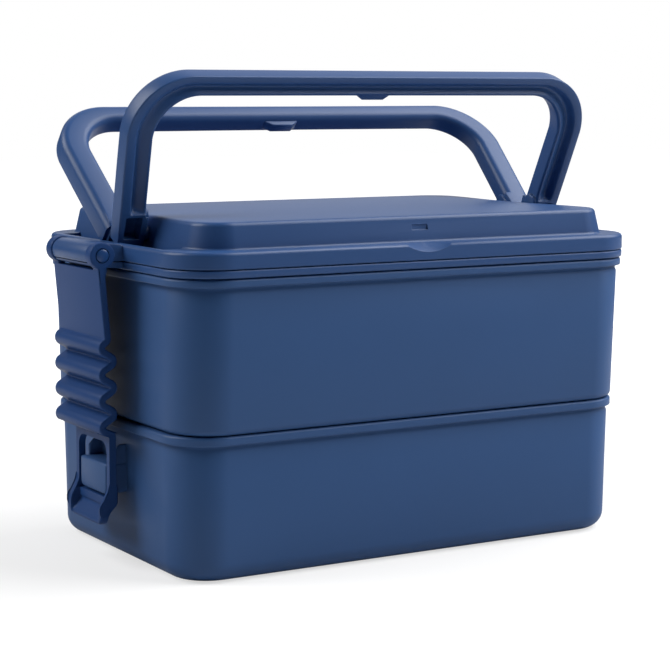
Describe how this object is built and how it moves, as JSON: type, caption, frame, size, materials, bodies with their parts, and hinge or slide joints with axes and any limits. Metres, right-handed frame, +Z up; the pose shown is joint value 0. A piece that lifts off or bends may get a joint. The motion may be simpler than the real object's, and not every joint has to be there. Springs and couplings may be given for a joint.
{
  "type": "two-tier lunch box",
  "caption": "Stacked lunch box of rounded food tubs under a stepped lid, with bail handles on top and a corrugated clip strap on each end.",
  "frame": {"origin": "on the floor, under the middle of the box", "axes": "+X along the box towards the right strap, +Y from the front handle to the back handle, +Z up"},
  "size_m": [0.2344, 0.1366, 0.1856],
  "materials": {
    "tub_plastic": "moulded slate blue polypropylene, soft satin",
    "lid_plastic": "moulded slate blue plastic, soft satin",
    "strap_plastic": "moulded slate blue plastic, soft satin",
    "pin_plastic": "moulded slate blue plastic, satin",
    "seal_rubber": "blue-grey silicone, matte"
  },
  "bodies": {
    "base": {"lower_tub": "tub_plastic"},
    "tier": {"upper_tub": "tub_plastic", "tier_seal": "seal_rubber"},
    "lid": {"lid_cover": "lid_plastic", "lid_frame": "lid_plastic", "lid_seal": "seal_rubber", "strap_pin_left": "pin_plastic", "strap_pin_right": "pin_plastic"},
    "front_handle": {"handle_front": "lid_plastic"},
    "back_handle": {"handle_back": "lid_plastic"},
    "left_strap": {"strap_left": "strap_plastic"},
    "right_strap": {"strap_right": "strap_plastic"}
  },
  "joints": [
    {"name": "tier_lift", "type": "slide", "parent": "base", "child": "tier", "axis": [0, 0, 1], "range_m": [0, 0.025]},
    {"name": "lid_lift", "type": "slide", "parent": "tier", "child": "lid", "axis": [0, 0, 1], "range_m": [0, 0.025]},
    {"name": "front_handle_swing", "type": "hinge", "parent": "lid", "child": "front_handle", "pos_m": [0, -0.0075, 0.1238], "axis": [1, 0, 0], "range_deg": [-20, 68]},
    {"name": "back_handle_swing", "type": "hinge", "parent": "lid", "child": "back_handle", "pos_m": [0, 0.0075, 0.1238], "axis": [-1, 0, 0], "range_deg": [-46, 42]},
    {"name": "left_strap_swing", "type": "hinge", "parent": "lid", "child": "left_strap", "pos_m": [-0.1123, 0, 0.1173], "axis": [0, 1, 0], "range_deg": [0, 126]},
    {"name": "right_strap_swing", "type": "hinge", "parent": "lid", "child": "right_strap", "pos_m": [0.1123, 0, 0.1173], "axis": [0, -1, 0], "range_deg": [0, 126]}
  ],
  "couplings": [
    {"joint": "tier_lift", "follows": "lid_lift", "ratio": 1},
    {"joint": "left_strap_swing", "follows": "lid_lift", "rad_per_m": 87.266},
    {"joint": "right_strap_swing", "follows": "lid_lift", "rad_per_m": 87.266}
  ]
}
